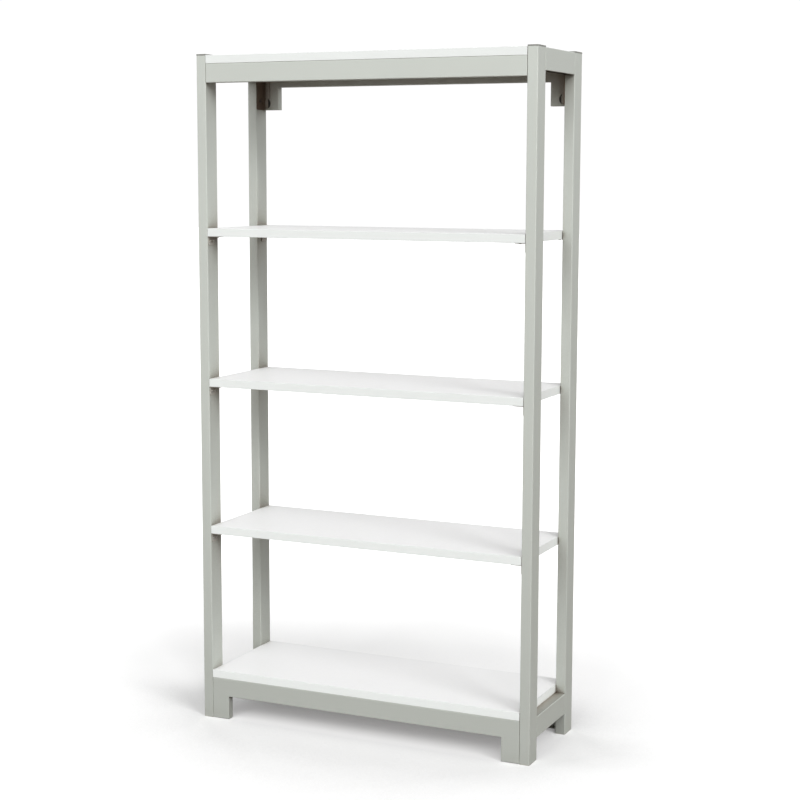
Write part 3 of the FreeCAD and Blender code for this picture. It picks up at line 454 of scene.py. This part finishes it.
BRACKET = (0.60, 0.60, 0.565)
MATS = {
    "frame_paint": frame_paint(),
    "cap_plastic": moulded("cap_plastic", (0.225, 0.23, 0.21), 0.52, corner_shade=False),
    "shelf_melamine": shelf_melamine(),
    "edging_plastic": edging_plastic(),
    "bracket_paint": powder_coat("bracket_paint", BRACKET, 0.5),
    "corner_plate_paint": corner_plate(),
    "hook_paint": powder_coat("hook_paint", (0.50, 0.49, 0.45), 0.5, reach=0.02),
    "liner_rubber": liner_rubber(),
    "fastener_steel": zinc("fastener_steel"),
    "screw_black": black_screw("screw_black"),
    "foot_plastic": moulded("foot_plastic", (0.40, 0.405, 0.365), 0.6, corner_shade=False),
    "glide_plastic": moulded("glide_plastic", (0.045, 0.045, 0.046), 0.5, corner_shade=False),
    "stud_steel": zinc("stud_steel", (0.52, 0.52, 0.515), 0.33),
}
slot_of = {s["node"]: s["material_slot"] for s in frame["record"]["subparts"]}


def paint_with(obj, slot):
    obj.data.materials.clear()
    obj.data.materials.append(MATS[slot])
    for p in obj.data.polygons:
        p.material_index = 0


for name, obj in nodes.items():
    paint_with(obj, slot_of[name])


# ---------------------------------------------------------------------------
# levelling studs with a real thread, for the plain CAD cylinders
# ---------------------------------------------------------------------------
def stud_mesh(name, cx, cyy):
    mm = 0.001
    seg = 36
    bm = bmesh.new()

    def ring(radius, z, shape=None):
        out = []
        for i in range(seg):
            a = 2 * math.pi * i / seg
            rr = shape(a) if shape else radius
            out.append(bm.verts.new(((cx + rr * math.cos(a) * mm), (cyy + rr * math.sin(a) * mm), z * mm)))
        return out

    def join(a, b):
        for i in range(seg):
            j = (i + 1) % seg
            bm.faces.new((a[i], a[j], b[j], b[i]))

    def hexa(a, half=2.0):
        w = (a + math.pi / 6) % (math.pi / 3) - math.pi / 6
        return half * 1.0 / math.cos(w) if abs(math.cos(w)) > 1e-6 else half

    # socket floor, socket wall, head, neck
    floor = ring(0, 5.7, hexa)
    centre = bm.verts.new((cx, cyy, 5.9 * mm))
    for i in range(seg):
        bm.faces.new((centre, floor[i], floor[(i + 1) % seg]))
    mouth = ring(0, 3.3, hexa)
    join(floor, mouth)
    mouth2 = ring(0, 3.0, lambda a: hexa(a, 2.3))
    join(mouth, mouth2)
    prev = mouth2
    for rad, z in ((5.4, 3.0), (5.85, 3.15), (6.0, 3.6), (6.0, 6.4), (5.85, 6.85), (5.4, 7.0), (3.6, 7.0), (3.35, 7.25)):
        cur = ring(rad, z)
        join(prev, cur)
        prev = cur
    # M8 x 1.25 thread from 7.6 to 43.4, crest just under the running diameter
    pitch, root, crest, per = 1.25, 3.28, 3.91, 6
    z, top = 7.6, 43.3
    steps = int((top - z) / (pitch / per))
    for k in range(steps + 1):
        zz = z + k * pitch / per
        fade = min(1.0, (zz - z) / 1.2, (top - zz) / 1.0 + 0.05)

        def shape(a, zz=zz, fade=fade):
            ph = (zz / pitch - a / (2 * math.pi)) % 1.0
            tri = 1.0 - abs(2.0 * ph - 1.0)              # 0 root, 1 crest
            tri = min(1.0, max(0.0, (tri - 0.14) / 0.74))
            return root + (crest - root) * tri * max(0.0, fade)

        cur = ring(0, zz, shape)
        join(prev, cur)
        prev = cur
    cur = ring(2.9, 43.9)
    join(prev, cur)
    tip = bm.verts.new((cx, cyy, 44.0 * mm))
    for i in range(seg):
        bm.faces.new((cur[i], cur[(i + 1) % seg], tip))
    bmesh.ops.recalc_face_normals(bm, faces=bm.faces)
    me = bpy.data.meshes.new(name)
    bm.to_mesh(me)
    bm.free()
    for p in me.polygons:
        p.use_smooth = True
    o = bpy.data.objects.new(name, me)
    scene.collection.objects.link(o)
    return o


for corner in ("front_left", "front_right", "rear_left", "rear_right"):
    node = "glide_stud_" + corner
    lo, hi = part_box(node)
    o = stud_mesh("threaded_stud_" + corner, (lo.x + hi.x) / 2, (lo.y + hi.y) / 2)
    o.data.materials.append(MATS["stud_steel"])
    mod = o.modifiers.new("edges", "EDGE_SPLIT")
    mod.split_angle = math.radians(38)
    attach(o, "stud_" + corner)
    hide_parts(node)


# ---------------------------------------------------------------------------
# floor, world and lights
# ---------------------------------------------------------------------------
def floor_material():
    """White studio floor.  The light that it gives back to the object is weak and warm, as under a dark ceiling of
    boards, the same near the case as farther out."""
    g = Graph("studio_floor")
    white = g.mix(g.span(g.noise(1.3, 4.0, 0.6), 0.3, 0.7), scaled(FLOOR, 0.994), FLOOR)
    # painted shadow: for the camera, the floor is darkened by a ramp on how much the case crowds it
    open_ = g.ao(1.1, 8)
    shade = g.ramp(open_, [(0.0, (0.90, 0.90, 0.90)), (0.5, (0.80, 0.80, 0.80)), (0.78, (0.80, 0.80, 0.80)), (0.87, (0.96, 0.96, 0.96)), (0.93, (1, 1, 1))])
    seen_ = g.mix(1.0, white, shade, "MULTIPLY")
    flat = g.t.nodes.new("ShaderNodeCombineXYZ")
    g.link(g.sep.outputs["X"], flat.inputs[0])
    g.link(g.sep.outputs["Y"], flat.inputs[1])
    dist = g.t.nodes.new("ShaderNodeVectorMath")
    dist.operation = "LENGTH"
    g.link(flat.outputs[0], dist.inputs[0])
    bounce = g.mix(g.span(dist.outputs["Value"], 0.9, 3.2), BOUNCE_NEAR, BOUNCE_FAR)
    path_ = g.t.nodes.new("ShaderNodeLightPath")
    # painted light: for camera rays the floor glows, lifting the shadow under the case and letting the far floor run to
    # white
    painted_glow = g.math("MAXIMUM", g.span(open_, 0.70, 0.42, 0.0, 0.19), g.span(dist.outputs["Value"], 0.75, 2.3, 0.0, 0.35, smooth=True))
    g.put(g.b.inputs["Emission Color"], g.mix(path_.outputs["Is Camera Ray"], (0.0, 0.0, 0.0), painted_glow))
    g.b.inputs["Emission Strength"].default_value = 1.0
    g.set(color=g.mix(path_.outputs["Is Camera Ray"], bounce, seen_), rough=0.85,
          normal=g.bump(g.noise(60.0, 3.0, 0.6), 0.0002, 0.25), spec=0.1)
    return g.m


FLOOR = (0.98, 0.98, 0.98)
BOUNCE_NEAR, BOUNCE_FAR = (0.132, 0.102, 0.080), (0.132, 0.102, 0.080)
me = bpy.data.meshes.new("floor")
S = 40.0
me.from_pydata([(-S, -S, -0.0004), (S, -S, -0.0004), (S, S, -0.0004), (-S, S, -0.0004)], [], [(0, 1, 2, 3)])
floor = bpy.data.objects.new("floor", me)
me.materials.append(floor_material())
scene.collection.objects.link(floor)
floor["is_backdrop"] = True

# the room's light, as soft lobes over the directions of the world
LOBES = {"left": 0.66, "right": 0.91, "front": 0.78, "front_left": 0.15, "back": 0.50, "zenith": 0.10}
BACK = 1.03
world = bpy.data.worlds.new("studio")
scene.world = world
world.use_nodes = True
wt = world.node_tree
wt.nodes.clear()
wout = wt.nodes.new("ShaderNodeOutputWorld")
seen = wt.nodes.new("ShaderNodeBackground")
seen.inputs["Color"].default_value = (1, 1, 1, 1)
seen.inputs["Strength"].default_value = BACK
lit = wt.nodes.new("ShaderNodeBackground")
lit.inputs["Color"].default_value = (1.0, 1.0, 1.0, 1)
wco = wt.nodes.new("ShaderNodeTexCoord")
wsep = wt.nodes.new("ShaderNodeSeparateXYZ")
wt.links.new(wco.outputs["Generated"], wsep.inputs[0])


def wmath(op, a, b):
    n = wt.nodes.new("ShaderNodeMath")
    n.operation = op
    for i, v in enumerate((a, b)):
        if isinstance(v, bpy.types.NodeSocket):
            wt.links.new(v, n.inputs[i])
        else:
            n.inputs[i].default_value = v
    return n.outputs[0]


def facing(axis, sign):
    return wmath("MAXIMUM", wmath("MULTIPLY", wsep.outputs[axis], sign), 0.0)


LEFT, RIGHT, FRONT, REAR = facing("X", -1.0), facing("X", 1.0), facing("Y", -1.0), facing("Y", 1.0)
SHAPE = {"left": LEFT, "right": RIGHT, "front": FRONT, "back": REAR,
         "zenith": wmath("POWER", facing("Z", 1.0), 2.0),
         "front_left": wmath("MULTIPLY", wmath("MULTIPLY", LEFT, FRONT), 4.0),
         "front_right": wmath("MULTIPLY", wmath("MULTIPLY", RIGHT, FRONT), 4.0),
         "back_right": wmath("MULTIPLY", wmath("MULTIPLY", RIGHT, REAR), 4.0)}
total = None
for key_, weight in LOBES.items():
    if weight <= 0.0:
        continue
    part = wmath("MULTIPLY", SHAPE[key_], weight)
    total = part if total is None else wmath("ADD", total, part)
wt.links.new(total, lit.inputs["Strength"])
path = wt.nodes.new("ShaderNodeLightPath")
wmix = wt.nodes.new("ShaderNodeMixShader")
wt.links.new(path.outputs["Is Camera Ray"], wmix.inputs[0])
wt.links.new(lit.outputs[0], wmix.inputs[1])
wt.links.new(seen.outputs[0], wmix.inputs[2])
wt.links.new(wmix.outputs[0], wout.inputs["Surface"])


def far_light(name, azimuth, elevation, strength, spread=24.0, color=(1, 1, 1)):
    """A wide soft light far off: azimuth 0 is straight in front, positive to the right."""
    d = bpy.data.lights.new(name, "SUN")
    d.energy = math.pi * strength
    d.angle = math.radians(spread)
    d.color = color
    o = bpy.data.objects.new(name, d)
    scene.collection.objects.link(o)
    a, e = math.radians(azimuth), math.radians(elevation)
    back_ = Vector((math.sin(a) * math.cos(e), -math.cos(a) * math.cos(e), math.sin(e)))
    o.rotation_mode = "QUATERNION"
    o.rotation_quaternion = (-back_).to_track_quat("-Z", "Y")
    return o


for name_, az_, el_, w_ in (("soft_front", 0, 30, 0.265), ("soft_front_right", 30, 30, 0.212),
                            ("soft_right", 60, 30, 0.405)):
    far_light(name_, az_, el_, w_)

lo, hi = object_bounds()
